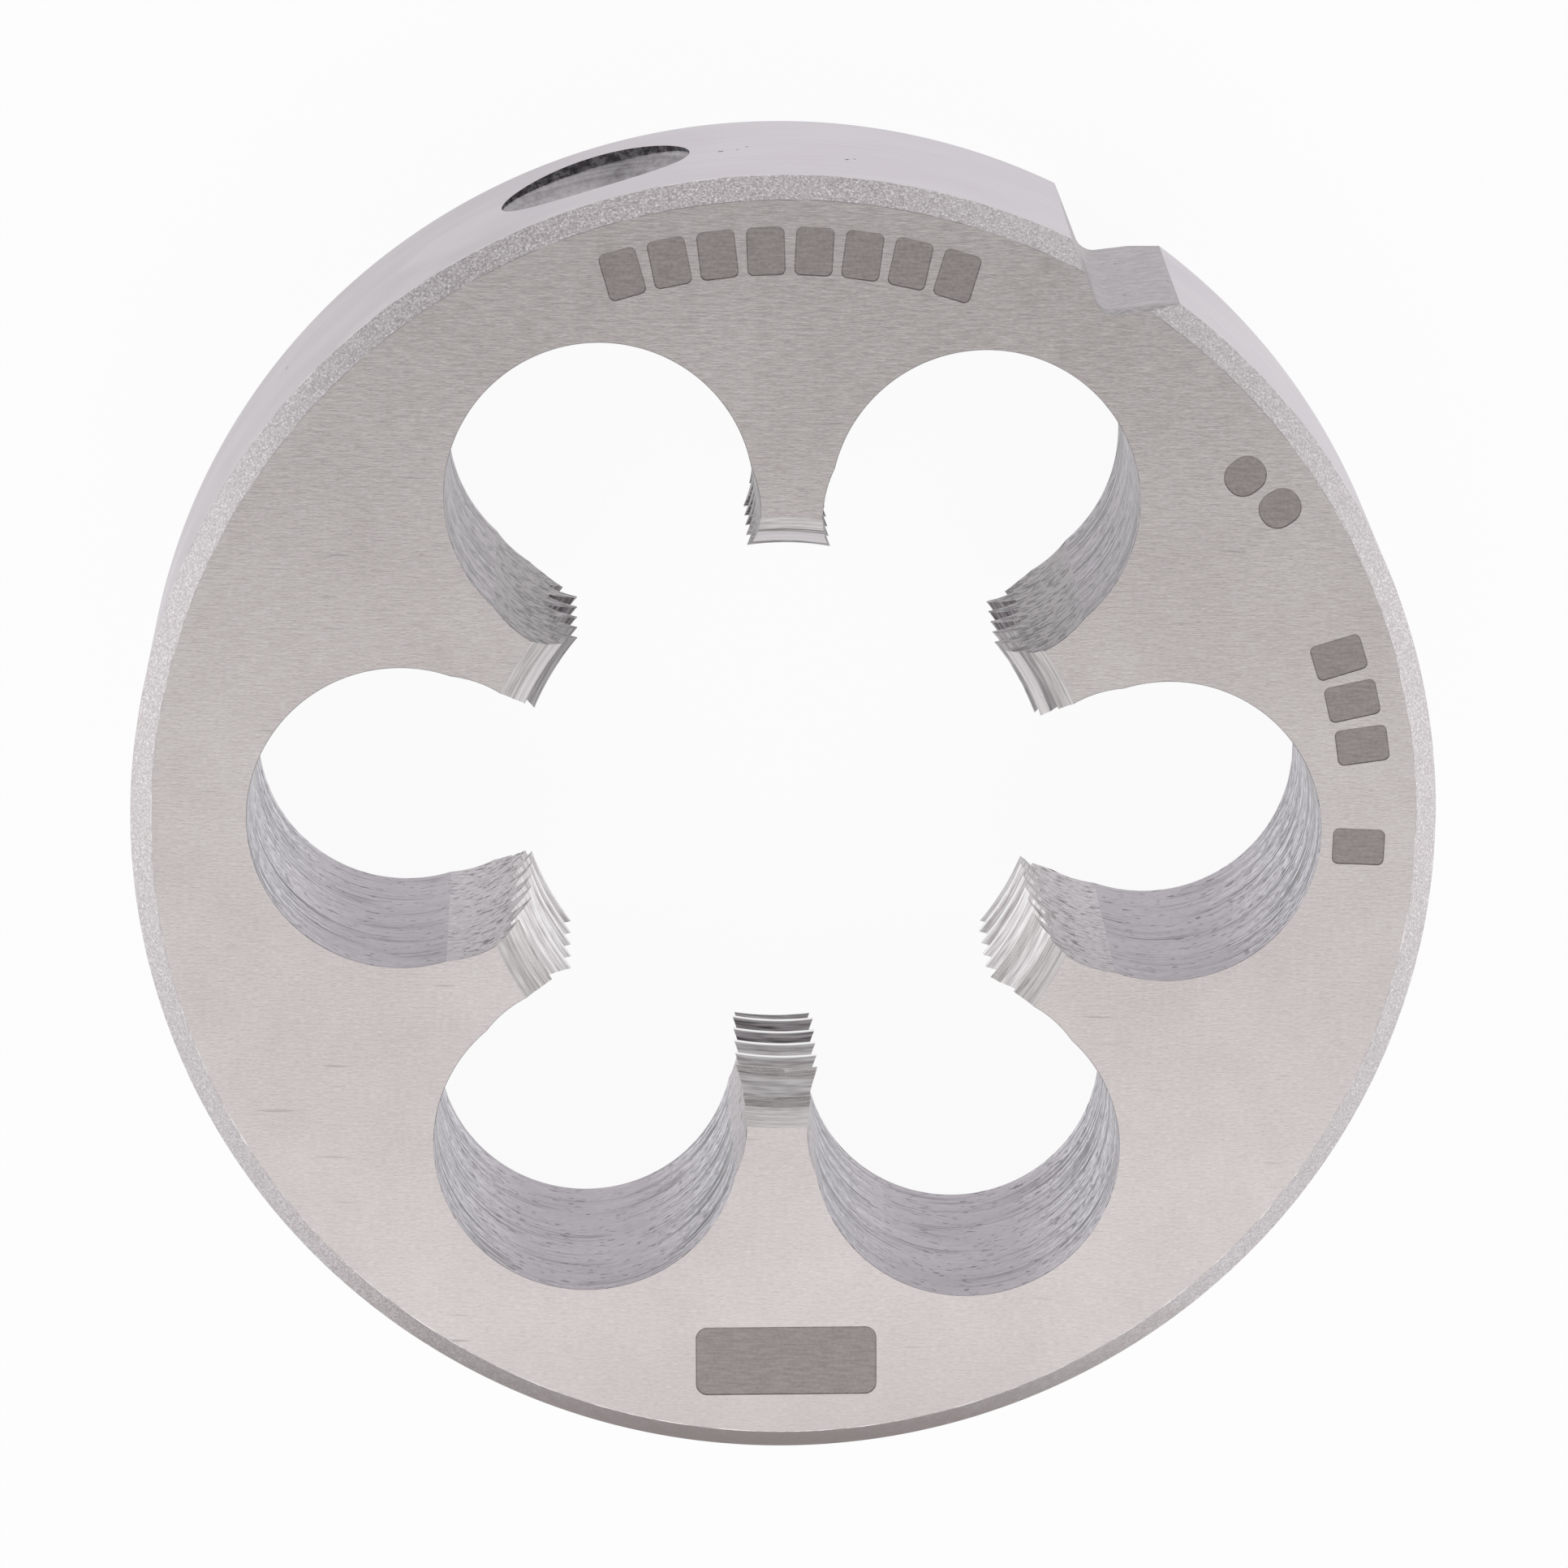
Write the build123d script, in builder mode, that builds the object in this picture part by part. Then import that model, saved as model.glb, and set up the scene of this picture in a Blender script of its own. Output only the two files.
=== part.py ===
from build123d import *
import os
from math import atan2, ceil, degrees, hypot, radians, tan

# A round threading die: one hardened steel disc with a threaded bore, flutes that clear
# the chips, and a notch and two drilled recesses in its rim for the screws of a die stock.
# It lies on its back face, with the axis along +Z and the origin at the middle of that face.
# Lengths are in millimetres and angles in degrees, counted from +X towards +Y.

# Blank
outer_diameter = 55.0
thickness = 16.0
rim_chamfer = 0.9

# Flutes: round holes between the lands, on a circle about the axis
flute_count = 6
flute_diameter = 12.92
flute_circle_diameter = 32.27

# Lands: both sides are ground hollow by a small wheel, so that each land has a neck
rake_wheel_diameter = 9.8
neck_width = 2.6
neck_behind_crest = 1.9

# Thread: a 60 degree profile on the lands, right-handed
crest_diameter = 22.7
pitch = 2.08
thread_angle = 60.0
crest_flat = 0.3
depth_per_pitch = 0.5413
first_crest_height = 1.21  # height of a crest where the thread passes +X

# Lead: a cone truncates the first teeth at each face, with a countersink at its mouth
lead_half_angle = 28.0
front_lead_length = 3.0
back_lead_length = 3.5
countersink_depth = 0.8
countersink_half_angle = 40.0

# Notch in the rim, for the stock's middle screw
notch_position = 60.0
notch_angle = 104.0
notch_depth = 2.2
notch_root_radius = 0.8

# Drilled recesses in the rim, on both sides of the notch
recess_from_notch = 48.0
recess_diameter = 8.3
recess_height = 7.5
recess_wall = 0.45  # straight wall between the mouth and the cone
recess_cone_angle = 90.0
recess_pilot_diameter = 1.6
recess_pilot_depth = 0.5

# Worked out from the sizes above
outer_radius = outer_diameter / 2
crest_radius = crest_diameter / 2
land_angle = 180.0 / flute_count
neck_radius = crest_radius + neck_behind_crest
wheel_offset = neck_width / 2 + rake_wheel_diameter / 2
wheel_circle_radius = hypot(neck_radius, wheel_offset)
wheel_angle = degrees(atan2(wheel_offset, neck_radius))
thread_depth = depth_per_pitch * pitch
flank_slope = tan(radians(thread_angle / 2))
run_out = crest_flat / 3  # how far the groove's flanks run on inside the crests
groove_root = pitch - crest_flat - 2 * thread_depth * flank_slope
groove_mouth = groove_root + 2 * (thread_depth + run_out) * flank_slope
lead_slope = tan(radians(lead_half_angle))
groove_start = first_crest_height - 1.5 * pitch
groove_turns = ceil((thickness + pitch / 2 - groove_start) / pitch)
countersink_slope = tan(radians(countersink_half_angle))


with BuildPart() as die_body:
    # Turned blank, bored to the thread's crests
    Cylinder(outer_radius, thickness, align=(Align.CENTER, Align.CENTER, Align.MIN))
    chamfer(die_body.edges().filter_by(GeomType.CIRCLE), rim_chamfer)
    with Locations((0, 0, thickness)):
        Hole(crest_radius)

    # Thread groove, swept along a helix that starts below the back face and ends above the front
    with BuildLine() as thread_path:
        Helix(pitch, groove_turns * pitch, crest_radius, center=(0, 0, groove_start))
    with BuildSketch(Plane(origin=(0, 0, groove_start), x_dir=(1, 0, 0), z_dir=(0, -1, 0))):
        with BuildLine():
            Polyline(
                (crest_radius - run_out, -groove_mouth / 2),
                (crest_radius + thread_depth, -groove_root / 2),
                (crest_radius + thread_depth, groove_root / 2),
                (crest_radius - run_out, groove_mouth / 2),
                close=True,
            )
        make_face()
    sweep(path=thread_path.line, is_frenet=True, mode=Mode.SUBTRACT)

    # Leads: at each face a countersink and a cone, which tapers on to a tip inside the open bore
    for face_height, inwards, lead_length in (
        (0, 1, back_lead_length),
        (thickness, -1, front_lead_length),
    ):
        throat_radius = crest_radius + (lead_length - countersink_depth) * lead_slope
        mouth_radius = throat_radius + countersink_depth * countersink_slope
        tip_depth = lead_length + crest_radius / lead_slope
        with BuildSketch(Plane.XZ):
            with BuildLine():
                Polyline(
                    (0, face_height),
                    (mouth_radius, face_height),
                    (throat_radius, face_height + inwards * countersink_depth),
                    (0, face_height + inwards * tip_depth),
                    close=True,
                )
            make_face()
        revolve(axis=Axis.Z, mode=Mode.SUBTRACT)

    # Flutes, widened by the wheel that grinds the two sides of every land
    with BuildSketch():
        with PolarLocations(flute_circle_diameter / 2, flute_count):
            Circle(flute_diameter / 2)
        for side in (-1, 1):
            with PolarLocations(wheel_circle_radius, flute_count, land_angle + side * wheel_angle):
                Circle(rake_wheel_diameter / 2)
    extrude(amount=thickness, mode=Mode.SUBTRACT)

    # Notch through the rim
    notch_reach = notch_depth + rim_chamfer
    notch_half_width = notch_reach * tan(radians(notch_angle / 2))
    with BuildSketch(Plane.XY.rotated((0, 0, notch_position))):
        with BuildLine() as notch_outline:
            Polyline(
                (outer_radius - notch_depth, 0),
                (outer_radius - notch_depth + notch_reach, notch_half_width),
                (outer_radius - notch_depth + notch_reach, -notch_half_width),
                close=True,
            )
            fillet(notch_outline.vertices().sort_by(Axis((0, 0, 0), (1, 0, 0)))[0], notch_root_radius)
        make_face()
    extrude(amount=thickness, mode=Mode.SUBTRACT)

    # Fixing recesses: a short straight wall, a cone and the drill's pilot, square to the rim
    wall_foot = Plane(
        origin=(outer_radius - recess_wall, 0, recess_height), x_dir=(0, 1, 0), z_dir=(1, 0, 0)
    )
    for side in (-1, 1):
        turned = Location((0, 0, 0), (0, 0, notch_position + side * recess_from_notch))
        with Locations(turned * wall_foot.location):
            CounterSinkHole(
                recess_pilot_diameter / 2,
                recess_diameter / 2,
                depth=recess_pilot_depth + recess_diameter / 2,
                counter_sink_angle=recess_cone_angle,
            )

die_body.part.label = "die_body"

os.makedirs("parts", exist_ok=True)
export_step(die_body.part, "parts/die_body.step")
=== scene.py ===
"""A round threading die, shown in place of its plain CAD solid.

The die is modelled here once more, finer than the CAD facets and with what a drawing leaves out: eased
edges, scored thread flanks and flute walls, small pits in the rim and etched fields. Its shape is worked out
in millimetres in the CAD frame (axis +Z, back face at z = 0, first flute on +X). The finished mesh is then
scaled to metres.
"""

import random
from math import asin, atan2, cos, hypot, pi, radians, sin, sqrt, tan

import bmesh
import bpy
from mathutils import Euler, Matrix, Vector


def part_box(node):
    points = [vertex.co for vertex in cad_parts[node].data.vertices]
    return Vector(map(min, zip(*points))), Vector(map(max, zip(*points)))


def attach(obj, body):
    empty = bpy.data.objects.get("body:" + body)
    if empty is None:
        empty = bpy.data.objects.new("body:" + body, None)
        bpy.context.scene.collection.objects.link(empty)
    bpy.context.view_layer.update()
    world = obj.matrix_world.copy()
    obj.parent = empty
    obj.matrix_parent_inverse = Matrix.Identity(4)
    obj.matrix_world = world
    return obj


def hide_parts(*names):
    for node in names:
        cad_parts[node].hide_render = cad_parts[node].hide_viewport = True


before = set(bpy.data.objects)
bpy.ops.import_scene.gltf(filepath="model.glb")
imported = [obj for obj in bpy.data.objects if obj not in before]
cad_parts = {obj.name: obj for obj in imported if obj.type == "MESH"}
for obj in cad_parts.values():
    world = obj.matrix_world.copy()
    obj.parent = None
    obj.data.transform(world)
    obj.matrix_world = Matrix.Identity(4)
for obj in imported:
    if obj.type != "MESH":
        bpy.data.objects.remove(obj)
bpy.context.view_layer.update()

MM = 0.001

# Sizes of the die, as in its drawing, in mm and degrees
low_corner, high_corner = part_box("die_body")
THICKNESS = round((high_corner.z - low_corner.z) / MM, 3)
OUTER_RADIUS = round((high_corner.x - low_corner.x) / 2 / MM, 1)
RIM_CHAMFER = 0.9
FLUTE_COUNT = 6
FLUTE_SPACING = 360 / FLUTE_COUNT
HALF_SPACING = FLUTE_SPACING / 2
FLUTE_RADIUS = 6.46
FLUTE_CIRCLE_RADIUS = 16.135
WHEEL_RADIUS = 4.9
NECK_WIDTH = 2.6
CREST_RADIUS = 11.35
NECK_RADIUS = CREST_RADIUS + 1.9
PITCH = 2.08
THREAD_DEPTH = 0.5413 * PITCH
CREST_FLAT = 0.3
FLANK_SLOPE = tan(radians(30))
ROOT_HALF = (PITCH - CREST_FLAT) / 2 - THREAD_DEPTH * FLANK_SLOPE  # half the flat at the thread's root
FIRST_CREST_HEIGHT = 1.21
LEAD_SLOPE = tan(radians(28))
FRONT_LEAD = 3.0
BACK_LEAD = 3.5
COUNTERSINK_DEPTH = 0.8
COUNTERSINK_SLOPE = tan(radians(40))
NOTCH_POSITION = 60.0
NOTCH_ANGLE = 104.0
NOTCH_DEPTH = 2.2
NOTCH_ROOT_RADIUS = 0.8
RECESS_FROM_NOTCH = 48.0
RECESS_RADIUS = 4.15
RECESS_HEIGHT = 7.5
RECESS_WALL = 0.45
PILOT_RADIUS = 0.8
PILOT_DEPTH = 0.5

# Finish of the edges and surfaces, in mm
EASED_EDGE = 0.04
OPENING_EASE = 0.02
ETCH_DEPTH = 0.015
ETCH_SLOPE = 0.05
SCORES_PER_FLUTE = 11
SCORE_MARGIN = 0.8  # no scored line is nearer than this to a face
SCORE_PAIR_GAP = 0.24
SCORE_DEPTHS = (0.002, 0.004, 0.006, 0.011)
SCORE_PROFILE = ((-0.05, 0.0), (-0.01, 1.0), (0.05, 0.0))  # (height above the line, share of its depth)
SCORE_ON_RAKE = 0.4  # share of a line's depth that is left on the rake walls
THREAD_SCORES = (-0.007, 0.004)  # least and most that a row of the thread is off its true radius
SHARP_ANGLE = 8.0  # degrees between two faces, above which their edge isn't smoothed
COUNTERSINK_METALLIC = 0.45

# Cutters and how finely they are stepped
OVERSHOOT = 1.0  # how far a cutter reaches past what it cuts
FLARE_OVERSHOOT = OVERSHOOT / 20
BORE_CLEARANCE = 0.15  # how far the plain bore stays inside the thread's crests
LAND_CUTTER_DEPTH = 1.2  # how far a land's cutter reaches inside the crests
RIM_STEPS = 720
RECESS_STEPS = 180
RAKE_STEPS = 20
FLUTE_STEPS = 48
BORE_STEPS = 5  # on each side of a land's middle
NOTCH_ROOT_STEPS = 16
CORNER_STEPS = 8
FLANK_STEPS = 6
LAND_COLUMNS = 26
LAND_SPREAD = 11.5  # degrees of a land's cutter on each side of the land's middle
GROOVE_COUNT = 11  # enough that the rows reach past both faces at every angle
LEAST_ROW_GAP = 0.002
HALVINGS = 24  # of a flank, to find where it runs out
PIT_PROUD = 0.35  # share of a pit's radius by which its centre is outside the rim
SEED = 24

# The etched fields in the front face: (radius, angle, width, height, corner radius), in mm and degrees
ETCHED_FIELDS = (
    # a row of blocks along the upper edge
    [(24.45, 107.3 - 4.72 * i, 1.5, 1.95, 0.22) for i in range(8)]
    # two discs and four blocks down the right side
    + [(24.3, 39.0, 1.5, 1.7, 0.7), (24.7, 34.4, 1.5, 1.7, 0.7)]
    + [(24.3 + 0.1 * i, 18.3 - 4.6 * i, 1.45, 2.1, 0.22) for i in range(3)]
    + [(24.2, -1.2, 1.45, 2.1, 0.22)]
    # one wide field at the lower edge
    + [(23.45, -88.5, 7.6, 2.9, 0.45)]
)
# Small pits in the rim: (radius of the pit, angle, height), in mm and degrees
PITS = (
    (0.13, 96.6, 8.3), (0.09, 95.1, 8.2), (0.1, 94.2, 7.6), (0.12, 85.6, 10.4),
    (0.08, 84.9, 10.1), (0.16, 23.4, 11.8), (0.09, 21.7, 12.6), (0.1, 141.0, 6.2),
    (0.12, 203.0, 9.4), (0.09, 262.0, 5.1), (0.12, 318.0, 11.0), (0.1, 331.0, 4.4),
)

# The camera looks down on the front face, from a little to its +Y side. Its place, lens and sensor are in mm
# and its turn is in degrees.
CAMERA_PLACE = Vector((-10.842, 90.388, 398.365))
CAMERA_TURN = (-13.0772, -1.3064, 1.3300)
FOCAL_LENGTH = 214.69
SENSOR_WIDTH = 36.0
CLIP_START = 0.01  # in m

# White paper under the die, in m
FLOOR_HALF = 3.0
FLOOR_DROP = 0.00002  # keeps the paper just clear of the back face
PAPER_COLOUR = (0.9, 0.9, 0.9, 1)
FLOOR_GLOW = 0.94

# Light: an even world and four soft boxes, as (name, place in m, width, height, brightness)
WORLD_LEVEL = 0.45
PANELS = (
    ("key", (0.0, -0.643, 0.766), 1.6, 1.1, 0.9),
    ("left", (-0.95, 0.0, 0.35), 1.0, 0.9, 0.75),
    ("right", (0.95, 0.0, 0.35), 1.0, 0.9, 0.75),
    ("back", (0.0, 0.95, 0.1), 1.0, 0.3, 0.9),
)

# The die's material slots, in the order of MATERIALS
FACE, CHAMFER, EDGE, RIM, FLUTE, RAKE, THREAD, LEAD, SINK, NOTCH, RECESS, MARK, MARK_EDGE = range(13)


# Meshes

def stacked(name, rings, side_slot, bottom_slot=FLUTE, top_slot=FLUTE):
    """A closed mesh through rings of points. side_slot is a slot, or a function of band and segment."""
    bm = bmesh.new()
    loops = [[bm.verts.new(point) for point in ring] for ring in rings]
    count = len(loops[0])
    for band, (low, high) in enumerate(zip(loops, loops[1:])):
        for i in range(count):
            j = (i + 1) % count
            face = bm.faces.new((low[i], low[j], high[j], high[i]))
            face.material_index = side_slot(band, i) if callable(side_slot) else side_slot
    bm.faces.new(list(reversed(loops[0]))).material_index = bottom_slot
    bm.faces.new(loops[-1]).material_index = top_slot
    mesh = bpy.data.meshes.new(name)
    bm.to_mesh(mesh)
    bm.free()
    return mesh


def joined(name, meshes):
    """One object of several meshes, which share the die's list of slots."""
    bm = bmesh.new()
    for mesh in meshes:
        bm.from_mesh(mesh)
        bpy.data.meshes.remove(mesh)
    whole = bpy.data.meshes.new(name)
    bm.to_mesh(whole)
    bm.free()
    piece = bpy.data.objects.new(name, whole)
    bpy.context.scene.collection.objects.link(piece)
    for material in MATERIALS:
        whole.materials.append(material)
    return piece


def circle(radius, height, count):
    steps = [2 * pi * i / count for i in range(count)]
    return [(radius * cos(a), radius * sin(a), height) for a in steps]


def blank():
    """The turned disc: its profile from the back face to the front one, with eased corners."""
    half_ease = EASED_EDGE / 2
    slant = EASED_EDGE / sqrt(2)
    corner = OUTER_RADIUS - RIM_CHAMFER
    lower = [
        (corner - half_ease, 0.0),
        (corner + slant / 2, slant / 2),
        (OUTER_RADIUS - slant / 2, RIM_CHAMFER - slant / 2),
        (OUTER_RADIUS, RIM_CHAMFER + half_ease),
    ]
    profile = lower + [(r, THICKNESS - z) for r, z in reversed(lower)]
    bands = (EDGE, CHAMFER, EDGE, RIM, EDGE, CHAMFER, EDGE)
    rings = [circle(r, z, RIM_STEPS) for r, z in profile]
    return stacked("blank", rings, lambda band, i: bands[band], FACE, FACE)


def crossing(c0, r0, c1, r1):
    """Where two circles in the plan cross, further from the die's axis."""
    across = Vector(c1) - Vector(c0)
    apart = across.length
    along = (apart * apart + r0 * r0 - r1 * r1) / (2 * apart)
    side = sqrt(r0 * r0 - along * along)
    unit = across / apart
    points = [Vector(c0) + unit * along + Vector((-unit.y, unit.x)) * s for s in (side, -side)]
    return max(points, key=lambda p: p.length)


def turned(point, angle):
    """A point in the plan, turned round the die's axis by an angle in radians."""
    c, s = cos(angle), sin(angle)
    return (point[0] * c - point[1] * s, point[0] * s + point[1] * c)


def opening_outline(offset):
    """The bore and the flutes in plan, as points and the slot of the wall that starts at each."""
    bore = CREST_RADIUS - BORE_CLEARANCE + offset
    wheel_centre = (NECK_RADIUS, NECK_WIDTH / 2 + WHEEL_RADIUS)
    wheel = WHEEL_RADIUS + offset
    flute_centre = turned((FLUTE_CIRCLE_RADIUS, 0), radians(HALF_SPACING))
    flute = FLUTE_RADIUS + offset
    crease = crossing(wheel_centre, wheel, flute_centre, flute)
    # The wheel's circle meets the bore nearer to the axis
    reach = hypot(*wheel_centre)
    tip_turn = atan2(wheel_centre[1], wheel_centre[0])
    spread = (reach * reach + bore * bore - wheel * wheel) / (2 * reach * bore)
    tip_angle = tip_turn - (pi / 2 - asin(spread))
    tip = (bore * cos(tip_angle), bore * sin(tip_angle))
    side = []
    start = atan2(tip[1] - wheel_centre[1], tip[0] - wheel_centre[0])
    end = atan2(crease.y - wheel_centre[1], crease.x - wheel_centre[0])
    if start > 0:
        start -= 2 * pi
    for i in range(RAKE_STEPS):
        a = start + (end - start) * i / RAKE_STEPS
        side.append((wheel_centre[0] + wheel * cos(a), wheel_centre[1] + wheel * sin(a), RAKE))
    start = atan2(crease.y - flute_centre[1], crease.x - flute_centre[0])
    furthest = radians(HALF_SPACING)
    for i in range(FLUTE_STEPS):
        a = start + (furthest - start) * i / FLUTE_STEPS
        side.append((flute_centre[0] + flute * cos(a), flute_centre[1] + flute * sin(a), FLUTE))
    middle = (flute_centre[0] + flute * cos(furthest), flute_centre[1] + flute * sin(furthest))
    points = []
    for k in range(FLUTE_COUNT):
        land = radians(FLUTE_SPACING * k - HALF_SPACING)
        for i in range(-BORE_STEPS, BORE_STEPS):
            a = land + tip_angle * i / BORE_STEPS
            points.append((bore * cos(a), bore * sin(a), THREAD))
        for x, y, slot in side:
            points.append((*turned((x, y), land), slot))
        points.append((*turned(middle, land), FLUTE))
        next_land = radians(FLUTE_SPACING * k + HALF_SPACING)
        mirrored = [(x, -y, slot) for x, y, slot in side]
        for (x, y, slot), (_, _, before) in zip(reversed(mirrored[1:]), reversed(mirrored[:-1])):
            points.append((*turned((x, y), next_land), before))
    return points


def score_heights(dice):
    """Heights of one flute's scored lines: most stand alone, and two run close together."""
    room = (THICKNESS - 2 * SCORE_MARGIN) / SCORES_PER_FLUTE
    heights = [SCORE_MARGIN + room * (i + dice.uniform(0.15, 0.85)) for i in range(SCORES_PER_FLUTE)]
    pair = dice.randrange(3, 6)
    heights[pair] = heights[pair - 1] + SCORE_PAIR_GAP
    return heights


def openings_cutter(dice):
    """Bore and flutes, with eased edges at both faces and lines scored round their walls."""
    ease = OPENING_EASE
    past = ease + FLARE_OVERSHOOT
    wide, plain = opening_outline(past), opening_outline(0.0)
    slots = [slot for _, _, slot in plain]

    def drawn(draw):
        return [[draw() for _ in range(SCORES_PER_FLUTE)] for _ in range(FLUTE_COUNT)]

    heights = [score_heights(dice) for _ in range(FLUTE_COUNT)]
    depths = drawn(lambda: dice.choice(SCORE_DEPTHS))
    phases = drawn(lambda: dice.uniform(0, 2 * pi))
    per_flute = len(plain) // FLUTE_COUNT

    def ring(height, outline):
        return [(x, y, height) for x, y, _ in outline]

    def scored(score, above, share):
        """One ring of a scored line, which changes height behind the teeth, and fades in and out."""
        points = []
        for i, ((x0, y0, slot), (x1, y1, _)) in enumerate(zip(plain, wide)):
            flute, step = divmod(i, per_flute)
            along = min(1.0, step / (2 * BORE_STEPS))
            z = heights[flute - 1][score] * (1 - along) + heights[flute][score] * along
            fade = max(0.0, 0.35 + 0.65 * sin(step * 0.11 + phases[flute][score]))
            depth = share * depths[flute][score] * fade * (SCORE_ON_RAKE if slot == RAKE else 1.0) / past
            points.append((x0 + (x1 - x0) * depth, y0 + (y1 - y0) * depth, z + above))
        return points

    rings = [ring(-OVERSHOOT, wide), ring(-FLARE_OVERSHOOT, wide), ring(ease, plain)]
    for score in range(SCORES_PER_FLUTE):
        rings += [scored(score, above, share) for above, share in SCORE_PROFILE]
    rings += [ring(THICKNESS - ease, plain), ring(THICKNESS + FLARE_OVERSHOOT, wide)]
    rings.append(ring(THICKNESS + OVERSHOOT, wide))
    return stacked("openings", rings, lambda band, i: slots[i])


def lead_radius(z):
    """Radius of the leads and countersinks at a height, without the thread."""
    widest = CREST_RADIUS
    for depth, length in ((z, BACK_LEAD), (THICKNESS - z, FRONT_LEAD)):
        widest = max(widest, CREST_RADIUS + (length - depth) * LEAD_SLOPE)
        throat = CREST_RADIUS + (length - COUNTERSINK_DEPTH) * LEAD_SLOPE
        widest = max(widest, throat + (COUNTERSINK_DEPTH - depth) * COUNTERSINK_SLOPE)
    return widest


def thread_radius(angle, z):
    """Radius of the thread alone, from crest to root, at an angle in degrees."""
    groove_centre = FIRST_CREST_HEIGHT + PITCH / 2 + PITCH * angle / 360
    off_centre = abs((z - groove_centre + PITCH / 2) % PITCH - PITCH / 2)
    depth = THREAD_DEPTH - max(0.0, off_centre - ROOT_HALF) / FLANK_SLOPE
    return CREST_RADIUS + max(0.0, depth)


def row_heights(angle):
    """Heights of the rows of a land's surface: every corner of its profile, and even steps between them."""
    crest_half = CREST_FLAT / 2
    heights = [COUNTERSINK_DEPTH, BACK_LEAD, THICKNESS - COUNTERSINK_DEPTH, THICKNESS - FRONT_LEAD]
    first_groove = FIRST_CREST_HEIGHT - 1.5 * PITCH + PITCH * angle / 360
    for cycle in range(GROOVE_COUNT):
        centre = first_groove + cycle * PITCH
        for side in (-1, 1):
            root_edge = centre + side * ROOT_HALF
            crest_edge = centre + side * (PITCH / 2 - crest_half)
            heights += [root_edge, crest_edge, flank_crossing(centre, root_edge, crest_edge)]
            heights += [root_edge + (crest_edge - root_edge) * i / FLANK_STEPS for i in range(1, FLANK_STEPS)]
        heights.append(centre)
    heights.sort()
    for i in range(1, len(heights)):
        heights[i] = max(heights[i], heights[i - 1] + LEAST_ROW_GAP)
    return heights


def flank_crossing(centre, root_edge, crest_edge):
    """Where a flank runs out of the lead's cone, or the nearer end of the flank."""
    def above(z):
        reach = (crest_edge - z) / (crest_edge - root_edge)
        return CREST_RADIUS + THREAD_DEPTH * reach - lead_radius(z)
    low, high = crest_edge, root_edge
    if above(low) >= 0:
        return low
    if above(high) <= 0:
        return high
    for _ in range(HALVINGS):
        middle = (low + high) / 2
        if above(middle) < 0:
            low = middle
        else:
            high = middle
    return (low + high) / 2


def land_cutter(land, dice):
    """What the thread and the leads cut away over one land, with the fine scores that the tool leaves."""
    angles = [land - LAND_SPREAD + 2 * LAND_SPREAD * i / LAND_COLUMNS for i in range(LAND_COLUMNS + 1)]
    heights = [row_heights(a) for a in angles]
    rows = len(heights[0])
    scores = [dice.uniform(*THREAD_SCORES) for _ in range(rows)]
    back_of_cutter = CREST_RADIUS - LAND_CUTTER_DEPTH
    rings = []
    for row in range(rows):
        ring = []
        for column, angle in enumerate(angles):
            z = heights[column][row]
            bite = scores[row] * (0.7 + 0.3 * sin(0.9 * column + row))
            r = max(thread_radius(angle, z), lead_radius(z)) + bite
            ring.append((r * cos(radians(angle)), r * sin(radians(angle)), z))
        for angle, z in ((angles[-1], heights[-1][row]), (angles[0], heights[0][row])):
            ring.append((back_of_cutter * cos(radians(angle)), back_of_cutter * sin(radians(angle)), z))
        rings.append(ring)

    middle = LAND_COLUMNS // 2

    def slot(band, i):
        z = (heights[middle][band] + heights[middle][band + 1]) / 2
        if not COUNTERSINK_DEPTH < z < THICKNESS - COUNTERSINK_DEPTH:
            return SINK
        return LEAD if lead_radius(z) > thread_radius(land, z) + 0.001 else THREAD

    return stacked("land", rings, slot)


def notch_cutter():
    """The notch through the rim: a V with a round root."""
    half = radians(NOTCH_ANGLE / 2)
    apex = OUTER_RADIUS - NOTCH_DEPTH
    arc_centre = apex + NOTCH_ROOT_RADIUS / sin(half)
    reach = OUTER_RADIUS + OVERSHOOT
    outline = [(reach, -(reach - apex) * tan(half))]
    arc_half = pi / 2 - half
    for i in range(NOTCH_ROOT_STEPS + 1):
        a = pi - arc_half + 2 * arc_half * i / NOTCH_ROOT_STEPS
        outline.append((arc_centre + NOTCH_ROOT_RADIUS * cos(a), -NOTCH_ROOT_RADIUS * sin(a)))
    outline.append((reach, (reach - apex) * tan(half)))
    outline = [turned(p, radians(NOTCH_POSITION)) for p in reversed(outline)]
    rings = [[(x, y, z) for x, y in outline] for z in (-OVERSHOOT, THICKNESS + OVERSHOOT)]
    return stacked("notch", rings, NOTCH)


def recess_cutter(position):
    """A fixing recess in the rim: pilot point, cone and straight wall, at an angle in degrees."""
    foot = OUTER_RADIUS - RECESS_WALL
    cone_depth = RECESS_RADIUS - PILOT_RADIUS
    profile = [
        (PILOT_RADIUS, foot - cone_depth - PILOT_DEPTH),
        (PILOT_RADIUS, foot - cone_depth),
        (RECESS_RADIUS, foot),
        (RECESS_RADIUS, OUTER_RADIUS + OVERSHOOT),
    ]
    rings = []
    for radius, reach in profile:
        ring = []
        for x, y, _ in circle(radius, 0, RECESS_STEPS):
            px, py = turned((reach, x), radians(position))
            ring.append((px, py, RECESS_HEIGHT + y))
        rings.append(ring)
    return stacked("recess", rings, RECESS, RECESS, RECESS)


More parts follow.
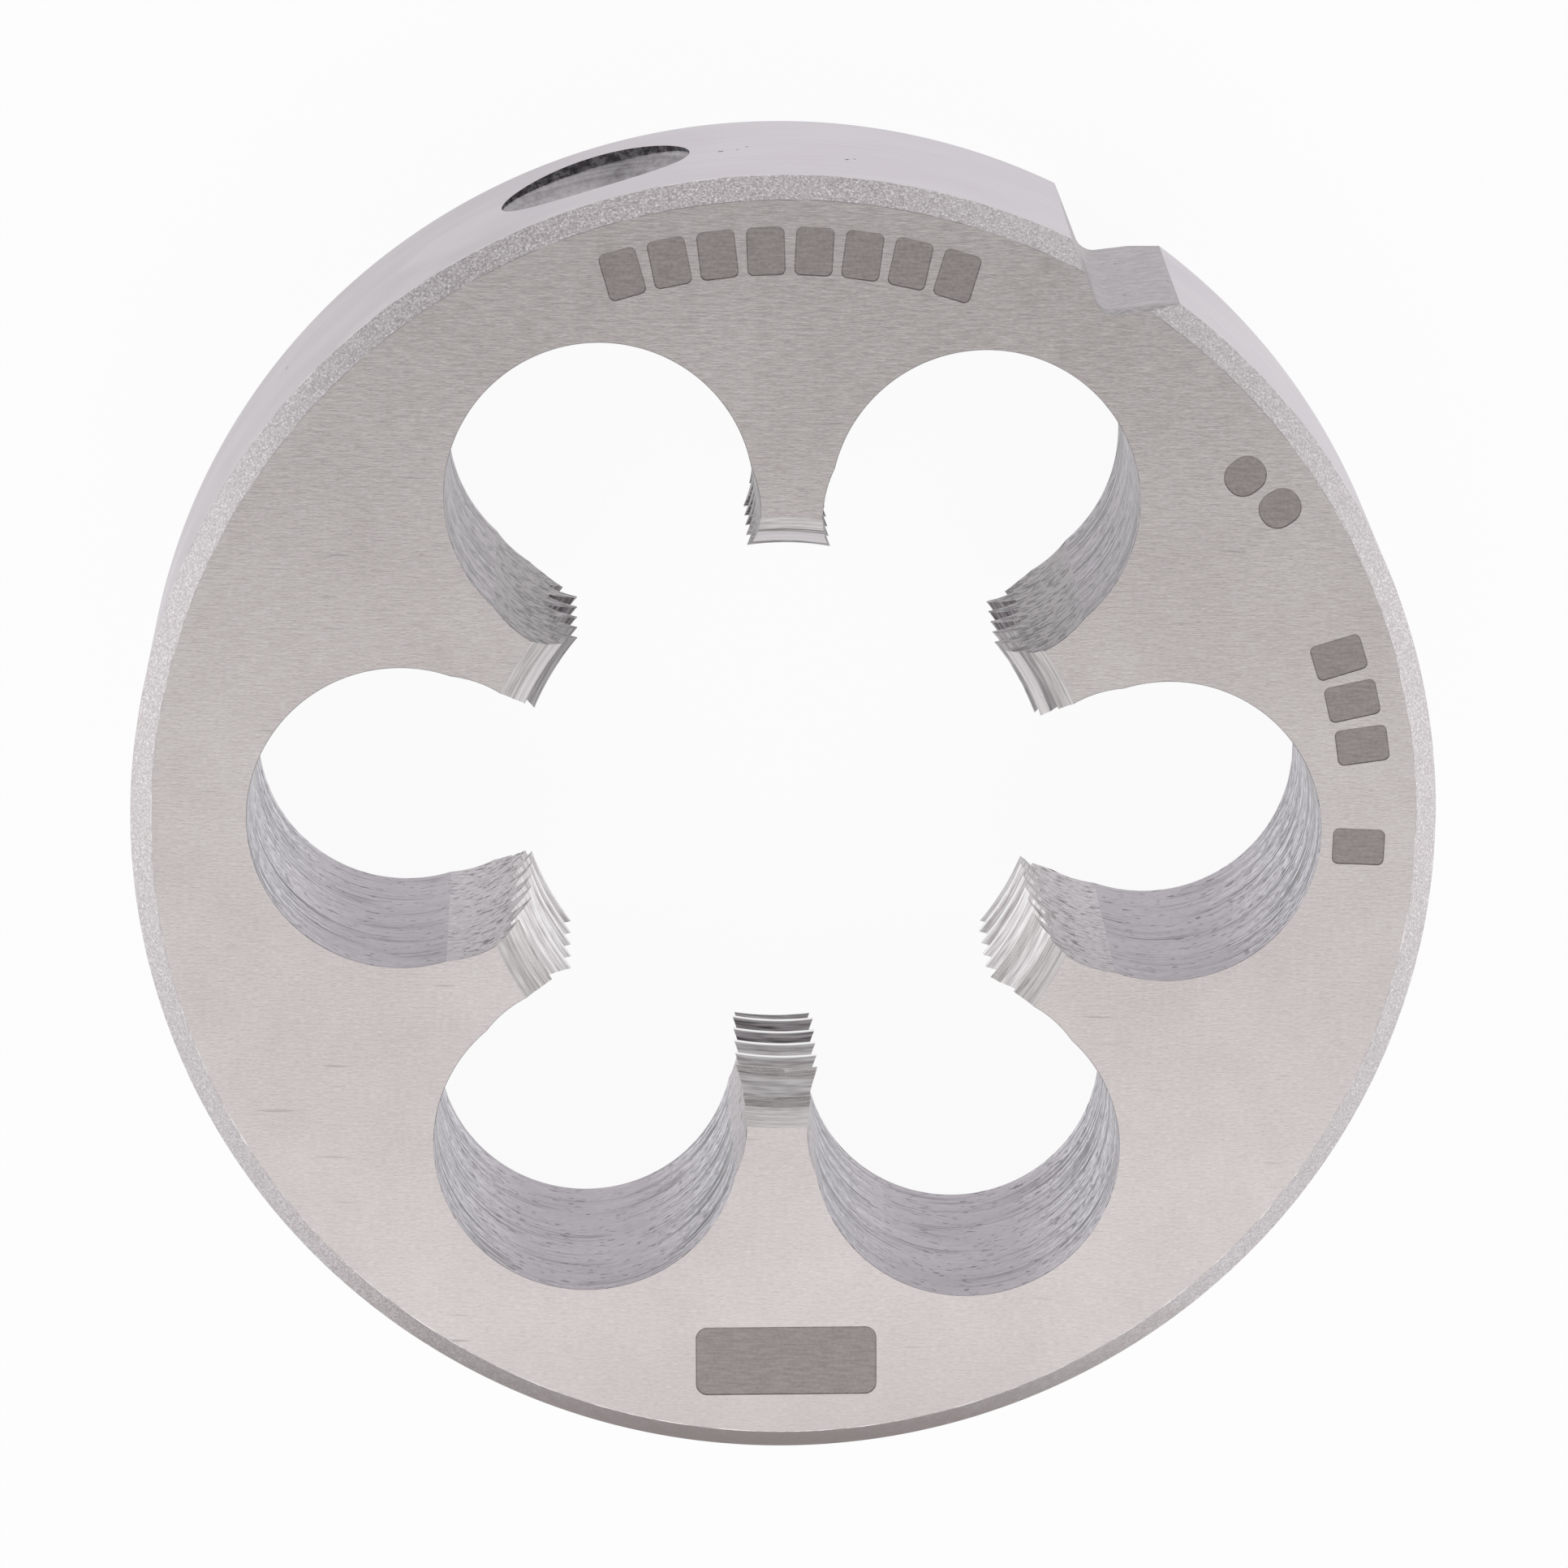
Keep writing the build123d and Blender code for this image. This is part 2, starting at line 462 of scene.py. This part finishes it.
def pit_cutter(size, angle, height):
    """A small rough ball, about a third of it sunk in the rim."""
    bm = bmesh.new()
    bmesh.ops.create_icosphere(bm, subdivisions=2, radius=size)
    centre = Vector((*turned((OUTER_RADIUS + size * PIT_PROUD, 0), radians(angle)), height))
    for vert in bm.verts:
        vert.co = centre + vert.co * (1 + 0.25 * sin(vert.co.x * 31 + vert.co.z * 47 + angle))
    for face in bm.faces:
        face.material_index = RECESS
    mesh = bpy.data.meshes.new("pit")
    bm.to_mesh(mesh)
    bm.free()
    return mesh


def field_outline(radius, angle, width, height, corner, offset):
    """A rectangle with round corners, its top away from the die's axis."""
    points = []
    for sx, sy, start in ((1, 1, 0), (-1, 1, 90), (-1, -1, 180), (1, -1, 270)):
        for step in range(CORNER_STEPS + 1):
            a = radians(start + 90 * step / CORNER_STEPS)
            x = sx * (width / 2 - corner) + (corner + offset) * cos(a)
            y = sy * (height / 2 - corner) + (corner + offset) * sin(a)
            points.append(turned((radius + y, -x), radians(angle)))
    return points


def mark_cutter(field):
    """One etched field: a very shallow pocket in the front face, with sloping sides."""
    levels = (
        (THICKNESS - ETCH_DEPTH, 0.0),
        (THICKNESS + ETCH_DEPTH, 2 * ETCH_SLOPE),
        (THICKNESS + OVERSHOOT, 2 * ETCH_SLOPE),
    )
    rings = [[(x, y, z) for x, y in field_outline(*field, offset)] for z, offset in levels]
    return stacked("mark", rings, MARK_EDGE, MARK, MARK)


def cut(body, cutter):
    """Takes the cutter away from the body and deletes it."""
    modifier = body.modifiers.new("cut", "BOOLEAN")
    modifier.operation = "DIFFERENCE"
    modifier.solver = "EXACT"
    modifier.material_mode = "INDEX"
    modifier.object = cutter
    graph = bpy.context.evaluated_depsgraph_get()
    result = bpy.data.meshes.new_from_object(body.evaluated_get(graph))
    body.modifiers.clear()
    body.data = result
    bpy.data.objects.remove(cutter)


def made_solid():
    """The whole die in mm. The dice are thrown in a fixed order, so the scores are the same each time."""
    dice = random.Random(SEED)
    body = joined("die", [blank()])
    cut(body, joined("cutter", [openings_cutter(dice)]))
    middles = [FLUTE_SPACING * k + HALF_SPACING for k in range(FLUTE_COUNT)]
    cut(body, joined("cutter", [land_cutter(middle, dice) for middle in middles]))
    recesses = [recess_cutter(NOTCH_POSITION + side * RECESS_FROM_NOTCH) for side in (-1, 1)]
    cut(body, joined("cutter", [notch_cutter(), *recesses]))
    cut(body, joined("cutter", [pit_cutter(*pit) for pit in PITS]))
    cut(body, joined("cutter", [mark_cutter(field) for field in ETCHED_FIELDS]))
    return body


# Materials

class Finish:
    """One metal surface's nodes. Places are in millimetres in the die's frame."""

    def __init__(self, name):
        self.material = bpy.data.materials.new(name)
        self.material.use_nodes = True
        self.nodes = self.material.node_tree.nodes
        self.links = self.material.node_tree.links
        self.shader = self.nodes["Principled BSDF"]
        self.shader.inputs["Metallic"].default_value = 1.0
        place = self.nodes.new("ShaderNodeTexCoord").outputs["Object"]
        self.place = self.vector("MULTIPLY", place, (1 / MM,) * 3)

    def put(self, socket, value):
        if isinstance(value, bpy.types.NodeSocket):
            self.links.new(value, socket)
        else:
            socket.default_value = value

    def math(self, operation, first, second=0.0):
        node = self.nodes.new("ShaderNodeMath")
        node.operation = operation
        self.put(node.inputs[0], first)
        self.put(node.inputs[1], second)
        return node.outputs[0]

    def times(self, first, second):
        return self.math("MULTIPLY", first, second)

    def vector(self, operation, first, second):
        node = self.nodes.new("ShaderNodeVectorMath")
        node.operation = operation
        self.put(node.inputs[0], first)
        self.put(node.inputs[1], second)
        return node.outputs["Value" if operation in ("LENGTH", "DOT_PRODUCT") else "Vector"]

    def parts(self):
        """X, Y and height in mm. Y grows towards the top of the picture."""
        return self.split(self.place)

    def split(self, value):
        node = self.nodes.new("ShaderNodeSeparateXYZ")
        self.links.new(value, node.inputs[0])
        return node.outputs

    def sideways(self):
        """How far the wall faces to the left or to the right, from 0 to 1."""
        across, _, _ = self.split(self.nodes.new("ShaderNodeTexCoord").outputs["Normal"])
        return self.math("ABSOLUTE", across)

    def polar(self):
        """Angle in radians, distance from the axis, height."""
        x, y, z = self.parts()
        node = self.nodes.new("ShaderNodeCombineXYZ")
        self.links.new(self.math("ARCTAN2", y, x), node.inputs[0])
        in_plan = self.vector("MULTIPLY", self.place, (1, 1, 0))
        self.links.new(self.vector("LENGTH", in_plan, (0, 0, 0)), node.inputs[1])
        self.links.new(z, node.inputs[2])
        return node.outputs[0]

    def noise(self, scales, detail=2.0, roughness=0.6, place=None):
        node = self.nodes.new("ShaderNodeTexNoise")
        node.inputs["Scale"].default_value = 1.0
        node.inputs["Detail"].default_value = detail
        node.inputs["Roughness"].default_value = roughness
        self.links.new(self.vector("MULTIPLY", place or self.place, scales), node.inputs["Vector"])
        return node.outputs["Fac"]

    def band(self, value, low, high, start=0.0, end=1.0):
        """Spreads low to high of a value over start to end, and stops there."""
        node = self.nodes.new("ShaderNodeMapRange")
        self.links.new(value, node.inputs["Value"])
        for name, number in (("From Min", low), ("From Max", high), ("To Min", start), ("To Max", end)):
            node.inputs[name].default_value = number
        return node.outputs["Result"]

    def thin(self, value, level, wide, narrow):
        """Thin lines where a value passes a level."""
        return self.band(self.math("ABSOLUTE", self.math("SUBTRACT", value, level)), wide, narrow)

    def ladder(self, value, count, wide, narrow):
        """Thin lines where a value passes each of a count of even levels."""
        return self.thin(self.math("FRACT", self.times(value, count)), 0.5, wide, narrow)

    def total(self, *shares):
        """Sum of values, each with its weight."""
        whole = None
        for weight, value in shares:
            part = self.times(value, weight)
            whole = part if whole is None else self.math("ADD", whole, part)
        return whole

    def blend(self, share, first, second):
        """Two colours mixed. A colour mix has its inputs at 6 and 7, and its result at 2."""
        node = self.nodes.new("ShaderNodeMix")
        node.data_type = "RGBA"
        self.links.new(share, node.inputs["Factor"])
        for socket, colour in ((node.inputs[6], first), (node.inputs[7], second)):
            self.put(socket, colour if isinstance(colour, bpy.types.NodeSocket) else (*colour, 1))
        return node.outputs[2]

    def finish(self, colour, roughness, height, relief):
        """Sets what the surface shows; relief is the height of the bump in mm."""
        self.links.new(colour, self.shader.inputs["Base Color"])
        self.links.new(roughness, self.shader.inputs["Roughness"])
        bump = self.nodes.new("ShaderNodeBump")
        bump.inputs["Distance"].default_value = relief * MM
        self.links.new(height, bump.inputs["Height"])
        self.links.new(bump.outputs["Normal"], self.shader.inputs["Normal"])
        return self.material


def ground_face():
    """Flat grinding: fine streaks along X over faint clouds, a few faint scratches, and painted shade towards
    the lower edge.
    """
    f = Finish("ground_face")
    streak = f.noise((1.2, 9, 1))
    fine = f.noise((4, 20, 4), 1.0)
    cloud = f.noise((0.16, 0.16, 0.16), 3.0)
    upright = f.noise((6, 0.6, 1), 1.0)
    scratch = f.band(f.noise((0.4, 4.5, 1), 0.0), 0.78, 0.86)
    _, along, _ = f.parts()
    tone = f.band(f.total((0.38, streak), (0.33, fine), (0.24, cloud), (0.05, upright)), 0.38, 0.62)
    colour = f.blend(tone, (0.47, 0.43, 0.422), (0.6, 0.56, 0.552))
    colour = f.blend(scratch, colour, (0.42, 0.39, 0.385))
    # painted shade: the face is darkened towards its lower (-Y) edge
    colour = f.blend(f.band(along, -22.0, -27.0, 0.0, 0.3), colour, (0.4, 0.365, 0.355))
    return f.finish(colour, f.band(streak, 0.3, 0.7, 0.19, 0.27), f.total((0.5, streak), (0.5, fine)), 0.003)


def blasted_chamfer():
    """Grit blasting: a grain with painted glints, painted light towards both sides and painted shade at the
    lower edge.
    """
    f = Finish("blasted_chamfer")
    grain = f.noise((10, 10, 10), 1.0, 0.7)
    patch = f.noise((2.2, 2.2, 2.2), 2.0)
    across, along, _ = f.parts()
    tone = f.band(f.total((0.8, grain), (0.2, patch)), 0.36, 0.64)
    colour = f.blend(tone, (0.42, 0.382, 0.396), (0.72, 0.675, 0.692))
    # painted light: the chamfer is painted lighter towards its left and right sides
    far = f.band(f.math("ABSOLUTE", across), 15.0, 24.0)
    side = f.math("MAXIMUM", far, f.band(across, 3.0, 11.0, 0.0, 0.9))
    colour = f.blend(f.times(side, 0.28), colour, (0.95, 0.92, 0.92))
    # painted glints: near-white specks in the grain, fewer towards the lower edge
    painted_glints = f.times(f.band(grain, 0.64, 0.7), f.band(along, -16.0, -8.0, 0.1, 0.5))
    colour = f.blend(painted_glints, colour, (1.0, 0.97, 0.97))
    # painted shade: the chamfer is darkened in uneven patches along its lower edge
    painted_lower_shade = f.band(f.total((1.0, along), (3.0, patch)), -18.0, -25.5)
    colour = f.blend(painted_lower_shade, colour, (0.3, 0.262, 0.257))
    return f.finish(colour, f.band(patch, 0.3, 0.7, 0.45, 0.55), grain, 0.014)


def rubbed_and_highlit_edge():
    """Corners of the chamfers, rubbed bright here and there, and painted lighter than the faces beside them
    as an edge highlight.
    """
    f = Finish("rubbed_and_highlit_edge")
    rub = f.noise((0.7, 0.7, 0.7), 3.0, 0.7)
    # rubbed wear in patches, on top of a painted edge highlight: these colours are lighter than the face and
    # chamfer
    colour = f.blend(f.band(rub, 0.45, 0.62), (0.5, 0.47, 0.465), (0.85, 0.83, 0.82))
    return f.finish(colour, f.band(rub, 0.3, 0.7, 0.45, 0.28), f.noise((6, 6, 6)), 0.01)


def turned_rim():
    """Ground round the rim: smooth, with hardly a line in it, and darker at the upper left."""
    f = Finish("turned_rim")
    lines = f.noise((0.12, 0.12, 5), 3.0)
    cloud = f.noise((0.15, 0.15, 0.2), 2.0)
    tone = f.band(f.total((0.5, lines), (0.5, cloud)), 0.35, 0.65)
    colour = f.blend(tone, (0.515, 0.465, 0.51), (0.595, 0.54, 0.59))
    across, along, _ = f.parts()
    # darker towards the upper left of the rim
    upper_left_darkening = f.band(f.total((-0.7, across), (0.7, along)), 21.0, 26.5)
    colour = f.blend(f.times(upper_left_darkening, 0.5), colour, (0.36, 0.33, 0.355))
    return f.finish(colour, f.band(cloud, 0.3, 0.7, 0.26, 0.36), lines, 0.003)


def milled_flute():
    """Milled wall: smooth in the middle, with thin dark lines and short tears, most of them at its sides; a
    painted sheen where it faces left or right, and painted shade on the +Y side.
    """
    f = Finish("milled_flute")
    lines = f.noise((0.3, 0.3, 4.0), 2.0, 0.7)
    fine = f.noise((2.5, 2.5, 5), 1.0, 0.6)
    broad = f.noise((0.16, 0.16, 0.3), 2.0)
    drift = f.noise((0.035, 0.035, 1.0), 2.0, 0.75)
    patch = f.band(f.noise((0.25, 0.25, 0.6), 1.0), 0.45, 0.62)
    side = f.band(f.sideways(), 0.4, 0.9)
    _, along, _ = f.parts()
    upper = f.band(along, -4.0, 8.0)
    tone = f.band(f.total((0.34, lines), (0.36, fine), (0.3, broad)), 0.32, 0.68)
    colour = f.blend(tone, (0.325, 0.29, 0.325), (0.5, 0.456, 0.5))
    # painted sheen: whiter, bluish colour where the wall faces left or right, strongest towards -Y
    painted_side_sheen = f.times(side, f.band(along, 8.0, 0.0, 0.3, 1.0))
    painted_side_sheen = f.times(painted_side_sheen, f.band(fine, 0.42, 0.6, 0.2, 0.8))
    colour = f.blend(painted_side_sheen, colour, (0.76, 0.75, 0.81))
    strong = f.total((0.45, patch), (0.6, side))
    colour = f.blend(f.times(f.ladder(drift, 5.0, 0.2, 0.1), strong), colour, (0.06, 0.055, 0.065))
    torn = f.band(f.total((1.0, f.noise((2.0, 2.0, 4.4), 1.0)), (0.06, side), (0.04, upper)), 0.64, 0.69)
    colour = f.blend(f.times(torn, 0.8), colour, (0.09, 0.085, 0.095))
    # painted shade: the flute walls on the +Y side are darkened
    colour = f.blend(f.times(upper, 0.16), colour, (0.16, 0.142, 0.155))
    return f.finish(colour, f.band(lines, 0.3, 0.7, 0.28, 0.42), f.total((0.6, lines), (0.4, fine)), 0.02)


def ground_rake():
    """Rake walls: ground by a small wheel, lighter than the flutes, with dark streaks towards the teeth, and
    painted shade on the +Y side.
    """
    f = Finish("ground_rake")
    lines = f.noise((0.5, 0.5, 3.6), 2.0, 0.75)
    fine = f.noise((3.2, 3.2, 6), 1.0, 0.6)
    _, radius, _ = f.split(f.polar())
    _, along, _ = f.parts()
    upper = f.band(along, 0.0, 6.0)
    near_teeth = f.band(radius, 15.5, 12.4)
    edge_of_tear = f.total((1.0, f.noise((2.0, 2.0, 4.0), 2.0)), (0.09, near_teeth), (0.05, upper))
    torn = f.band(edge_of_tear, 0.61, 0.67)
    tone = f.band(f.total((0.5, lines), (0.5, fine)), 0.38, 0.62)
    colour = f.blend(tone, (0.38, 0.347, 0.37), (0.63, 0.59, 0.618))
    # painted shade: the rake walls on the +Y side are darkened
    colour = f.blend(f.times(upper, 0.5), colour, (0.17, 0.155, 0.165))
    colour = f.blend(f.times(torn, 0.85), colour, (0.07, 0.064, 0.068))
    return f.finish(colour, f.band(lines, 0.3, 0.7, 0.3, 0.45), f.total((0.6, lines), (0.4, fine)), 0.02)


def cut_thread():
    """Flanks scored along the thread, with painted shade deep inside and painted light towards the leads and
    on the lower side lands, painted shade on the +Y side, and a painted highlight on the crests.
    """
    f = Finish("cut_thread")
    polar = f.polar()
    _, radius, height = f.split(polar)
    across, along, _ = f.parts()
    lines = f.noise((1.6, 5.5, 1.6), 2.0, 0.75, polar)
    fine = f.noise((9, 11, 3), 1.0, 0.6, polar)
    tone = f.band(f.total((0.55, lines), (0.45, fine)), 0.38, 0.61)
    # the scored flanks in a painted-shade tone for deep in the bore, and in a painted-light tone
    scored_flank_painted_shade = f.blend(tone, (0.11, 0.097, 0.104), (0.64, 0.6, 0.625))
    scored_flank_painted_light = f.blend(tone, (0.56, 0.52, 0.53), (1.0, 0.98, 0.985))
    # painted light towards both leads and on the lands low at the left and right; painted shade in between
    front = f.band(height, 8.0, 9.4)
    back = f.band(height, 4.6, 2.6, 0.0, 0.7)
    far = f.band(f.math("ABSOLUTE", across), 4.0, 8.0)
    beside = f.times(far, f.band(along, 0.0, -3.0, 0.0, 0.8))
    colour = f.blend(f.math("MAXIMUM", f.math("MAXIMUM", front, back), beside), scored_flank_painted_shade, scored_flank_painted_light)
    # painted shade: the thread on the +Y side is darkened
    above = f.band(along, 0.0, 3.0, 0.0, 0.55)
    colour = f.blend(above, colour, (0.07, 0.065, 0.068))
    # painted highlight: the crests are painted almost white
    crest = f.band(radius, CREST_RADIUS + 0.05, CREST_RADIUS + 0.01)
    colour = f.blend(crest, colour, (0.97, 0.96, 0.96))
    return f.finish(colour, f.band(lines, 0.3, 0.7, 0.26, 0.42), lines, 0.02)


def ringed(f, dark, light, roughness):
    """Fine rings round the axis, and on the +Y side a thin line of painted shade where lead and countersink
    meet.
    """
    polar = f.polar()
    _, radius, _ = f.split(polar)
    _, along, _ = f.parts()
    lines = f.noise((2, 10, 6), 2.0, 0.75, polar)
    grain = f.noise((9, 9, 5), 2.0, 0.7, polar)
    tone = f.band(f.total((0.55, lines), (0.45, grain)), 0.36, 0.6)
    colour = f.blend(tone, dark, light)
    colour = f.blend(f.times(f.thin(lines, 0.44, 0.025, 0.01), 0.4), colour, (0.3, 0.28, 0.28))
    # painted shade: a thin dark line in the crease between lead and countersink, on the +Y side only
    meeting = CREST_RADIUS + (FRONT_LEAD - COUNTERSINK_DEPTH) * LEAD_SLOPE
    line = f.times(f.thin(radius, meeting, 0.07, 0.03), f.band(along, 2.0, 11.0, 0.0, 0.75))
    colour = f.blend(line, colour, (0.12, 0.11, 0.11))
    return f.finish(colour, f.band(grain, 0.3, 0.7, *roughness), lines, 0.005)


def turned_lead():
    """Leads: bright and warm, with painted shade making them greyer on the +Y side."""
    f = Finish("turned_lead")
    _, along, _ = f.parts()
    # painted shade: the leads on the +Y side get a greyer, darker pair of colours
    upper = f.band(along, 0.0, 8.0)
    dark = f.blend(upper, (0.85, 0.82, 0.805), (0.5, 0.47, 0.49))
    light = f.blend(upper, (1.0, 0.97, 0.945), (0.66, 0.625, 0.65))
    return ringed(f, dark, light, (0.22, 0.34))


def countersink():
    """Countersinks: as bright, and duller, so that they are light from every side."""
    f = Finish("countersink")
    f.shader.inputs["Metallic"].default_value = COUNTERSINK_METALLIC
    return ringed(f, (0.66, 0.63, 0.62), (0.98, 0.95, 0.935), (0.35, 0.5))


def milled_notch():
    """Notch walls: smooth, with faint streaks across, a few specks, and a dark burr at the front."""
    f = Finish("milled_notch")
    cloud = f.noise((0.5, 0.5, 2.4), 3.0)
    speck = f.band(f.noise((4, 4, 3), 2.0), 0.66, 0.74)
    fine = f.noise((2.0, 2.0, 3.5), 2.0)
    _, _, height = f.parts()
    tone = f.band(f.total((0.55, cloud), (0.45, fine)), 0.38, 0.62)
    colour = f.blend(tone, (0.3, 0.272, 0.29), (0.49, 0.452, 0.475))
    front = f.band(height, THICKNESS - 1.5, THICKNESS - 1.0)
    burr = f.times(front, f.band(f.noise((3, 3, 5)), 0.42, 0.56))
    colour = f.blend(f.math("MAXIMUM", speck, f.times(burr, 0.8)), colour, (0.14, 0.13, 0.135))
    return f.finish(colour, f.band(cloud, 0.3, 0.7, 0.33, 0.45), fine, 0.008)


def drilled_recess():
    """Drilled recesses: rings round the drill's axis, and painted shade, uneven, on the straight wall inside
    the mouth.
    """
    f = Finish("drilled_recess")
    reach = None
    for side in (-1, 1):
        angle = radians(NOTCH_POSITION + side * RECESS_FROM_NOTCH)
        along = f.vector("DOT_PRODUCT", f.place, (cos(angle), sin(angle), 0))
        reach = along if reach is None else f.math("MAXIMUM", reach, along)
    node = f.nodes.new("ShaderNodeCombineXYZ")
    f.links.new(reach, node.inputs[0])
    around = f.vector("ADD", f.vector("MULTIPLY", f.place, (0.1, 0.1, 0.1)), node.outputs[0])
    rings = f.noise((4, 1, 1), 3.0, 0.75, around)
    grain = f.noise((2.5, 2.5, 2.5), 3.0, 0.75)
    tone = f.band(f.total((0.5, rings), (0.5, grain)), 0.36, 0.62)
    colour = f.blend(tone, (0.22, 0.205, 0.217), (0.47, 0.45, 0.47))
    mouth = OUTER_RADIUS - RECESS_WALL
    # painted shade: the straight wall inside the mouth is darkened unevenly
    wall = f.times(f.band(reach, mouth - 0.06, mouth + 0.02), f.band(grain, 0.6, 0.42, 0.3, 1.0))
    colour = f.blend(wall, colour, (0.1, 0.096, 0.1))
    return f.finish(colour, f.band(grain, 0.3, 0.7, 0.3, 0.45), rings, 0.02)


def etched(name, dark, light):
    """Etched fields: dull and dark, with the face's streaks showing through."""
    f = Finish(name)
    streak = f.noise((1.2, 9, 1))
    grain = f.noise((6, 6, 6), 2.0, 0.7)
    tone = f.band(f.total((0.5, streak), (0.5, grain)), 0.38, 0.62)
    return f.finish(f.blend(tone, dark, light), f.band(grain, 0.3, 0.7, 0.4, 0.5), grain, 0.008)


MATERIALS = (
    ground_face(),
    blasted_chamfer(),
    rubbed_and_highlit_edge(),
    turned_rim(),
    milled_flute(),
    ground_rake(),
    cut_thread(),
    turned_lead(),
    countersink(),
    milled_notch(),
    drilled_recess(),
    etched("etched_mark", (0.27, 0.24, 0.235), (0.36, 0.325, 0.315)),
    etched("mark_edge", (0.17, 0.155, 0.15), (0.26, 0.24, 0.23)),
)

die = made_solid()
die.data.transform(Matrix.Scale(MM, 4))
for polygon in die.data.polygons:
    polygon.use_smooth = True
die.data.set_sharp_from_angle(angle=radians(SHARP_ANGLE))
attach(die, "root")
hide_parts("die_body")


# Stage

def panel(name, place, width, height, brightness):
    """A soft box that faces the die; its brightness is what a mirror would show of it."""
    data = bpy.data.lights.new(name, "AREA")
    data.shape = "RECTANGLE"
    data.size = width
    data.size_y = height
    data.energy = brightness * pi * width * height
    lamp = bpy.data.objects.new(name, data)
    lamp.location = place
    lamp.rotation_euler = (-Vector(place)).to_track_quat("-Z", "Y").to_euler()
    bpy.context.scene.collection.objects.link(lamp)


def studio():
    """The even world, the view transform and the soft boxes."""
    scene = bpy.context.scene
    world = bpy.data.worlds.new("studio")
    world.use_nodes = True
    world.node_tree.nodes["Background"].inputs["Color"].default_value = (1, 1, 1, 1)
    world.node_tree.nodes["Background"].inputs["Strength"].default_value = WORLD_LEVEL
    scene.world = world
    scene.view_settings.view_transform = "Standard"
    for box in PANELS:
        panel(*box)


def paper():
    """White where the camera sees it or a mirror shows it, and a plain diffuse sheet for all other light."""
    material = bpy.data.materials.new("paper")
    material.use_nodes = True
    nodes = material.node_tree.nodes
    links = material.node_tree.links
    nodes.clear()
    out = nodes.new("ShaderNodeOutputMaterial")
    mix = nodes.new("ShaderNodeMixShader")
    diffuse = nodes.new("ShaderNodeBsdfDiffuse")
    diffuse.inputs["Color"].default_value = PAPER_COLOUR
    glow = nodes.new("ShaderNodeEmission")
    path = nodes.new("ShaderNodeLightPath")
    seen = path.outputs["Is Camera Ray"]
    for ray in ("Is Glossy Ray", "Is Transmission Ray"):
        either = nodes.new("ShaderNodeMath")
        either.operation = "MAXIMUM"
        links.new(seen, either.inputs[0])
        links.new(path.outputs[ray], either.inputs[1])
        seen = either.outputs[0]
    share = nodes.new("ShaderNodeMath")
    share.operation = "MULTIPLY"
    share.inputs[1].default_value = FLOOR_GLOW
    links.new(seen, share.inputs[0])
    links.new(share.outputs[0], mix.inputs["Fac"])
    links.new(diffuse.outputs[0], mix.inputs[1])
    links.new(glow.outputs[0], mix.inputs[2])
    links.new(mix.outputs[0], out.inputs["Surface"])
    return material


def ground():
    """A square sheet of paper, just under the die."""
    mesh = bpy.data.meshes.new("floor")
    corners = [(x * FLOOR_HALF, y * FLOOR_HALF, 0) for x, y in ((-1, -1), (1, -1), (1, 1), (-1, 1))]
    mesh.from_pydata(corners, [], [(0, 1, 2, 3)])
    floor = bpy.data.objects.new("floor", mesh)
    bpy.context.scene.collection.objects.link(floor)
    floor.location.z = -FLOOR_DROP
    mesh.materials.append(paper())


def camera():
    data = bpy.data.cameras.new("camera")
    data.sensor_width = SENSOR_WIDTH
    data.lens = FOCAL_LENGTH
    data.clip_start = CLIP_START
    view = bpy.data.objects.new("camera", data)
    view.location = CAMERA_PLACE * MM
    view.rotation_euler = Euler([radians(a) for a in CAMERA_TURN], "XYZ")
    bpy.context.scene.collection.objects.link(view)
    bpy.context.scene.camera = view


studio()
ground()
camera()
